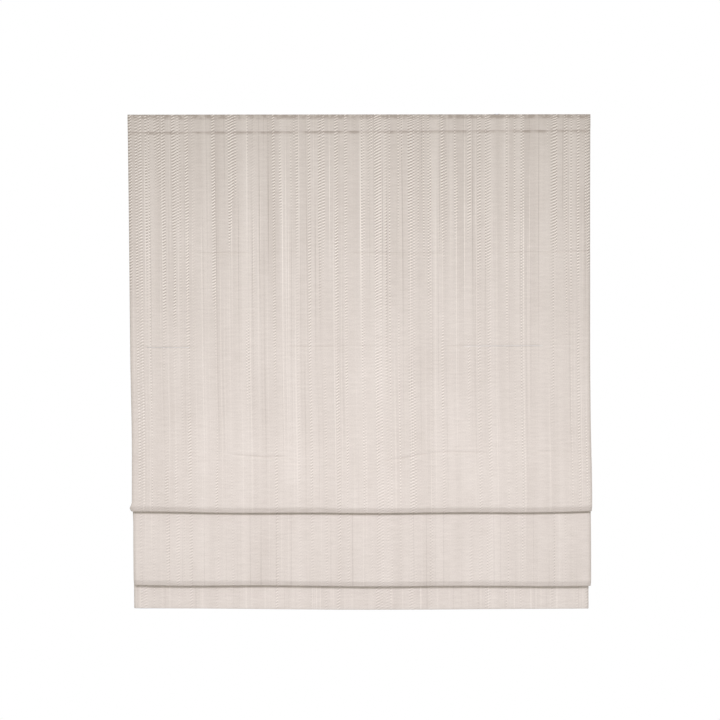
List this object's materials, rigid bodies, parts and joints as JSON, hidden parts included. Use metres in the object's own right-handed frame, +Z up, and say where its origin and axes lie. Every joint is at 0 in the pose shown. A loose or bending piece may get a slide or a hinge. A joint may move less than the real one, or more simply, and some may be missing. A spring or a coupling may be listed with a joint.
{
  "type": "roman blind",
  "caption": "Cloth roman blind drawn up part way: a flat panel over cascading folds and a bottom flap, hung from a spring-lift head rail on wall brackets.",
  "frame": {"origin": "middle of the four wall screws, on the wall plane behind the head rail", "axes": "+Z up, +Y into the wall, +X along the rail to the right as seen from the room"},
  "size_m": [1, 0.0574, 1.0841],
  "materials": {
    "linen_cloth": "slubbed plain weave, matt",
    "tape": "woven tape, matt",
    "rail_metal": "satin anodised",
    "bracket_steel": "zinc plated",
    "white_plastic": "satin moulded",
    "grey_plastic": "satin moulded",
    "rod_resin": "drawn glass fibre, satin"
  },
  "bodies": {
    "blind": {"head_rail": "rail_metal", "end_cap_left": "white_plastic", "end_cap_right": "white_plastic", "wall_bracket_left": "bracket_steel", "wall_bracket_right": "bracket_steel", "lever_rivet_left": "bracket_steel", "lever_rivet_right": "bracket_steel", "hook_tape": "tape", "loop_tape": "tape", "spool_cradle_left": "grey_plastic", "spool_cradle_middle": "grey_plastic", "spool_cradle_right": "grey_plastic", "spring_motor": "grey_plastic", "shade_cloth": "linen_cloth", "rod_pocket_upper": "tape", "rod_pocket_middle": "tape", "rod_pocket_lower": "tape", "batten_rod_upper": "rod_resin", "batten_rod_middle": "rod_resin", "batten_rod_lower": "rod_resin", "rod_tips": "white_plastic", "cord_rings_upper": "white_plastic", "cord_rings_middle": "white_plastic", "cord_rings_lower": "white_plastic", "bottom_bar": "rail_metal", "bar_cap_left": "white_plastic", "bar_cap_right": "white_plastic"},
    "winding_shaft": {"lift_shaft": "bracket_steel", "cord_spool_left": "white_plastic", "cord_spool_middle": "white_plastic", "cord_spool_right": "white_plastic", "motor_sleeve": "white_plastic"},
    "left_lever": {"bracket_lever_left": "white_plastic"},
    "right_lever": {"bracket_lever_right": "white_plastic"}
  },
  "joints": [
    {"name": "shaft_turn", "type": "hinge", "parent": "blind", "child": "winding_shaft", "pos_m": [0, -0.018, -0.0077], "axis": [1, 0, 0], "range_deg": [-3560, 5000]},
    {"name": "left_lever_turn", "type": "hinge", "parent": "blind", "child": "left_lever", "pos_m": [-0.3, -0.018, 0.013], "axis": [0, 0, 1], "range_deg": [0, 90]},
    {"name": "right_lever_turn", "type": "hinge", "parent": "blind", "child": "right_lever", "pos_m": [0.3, -0.018, 0.013], "axis": [0, 0, 1], "range_deg": [0, 90]}
  ]
}
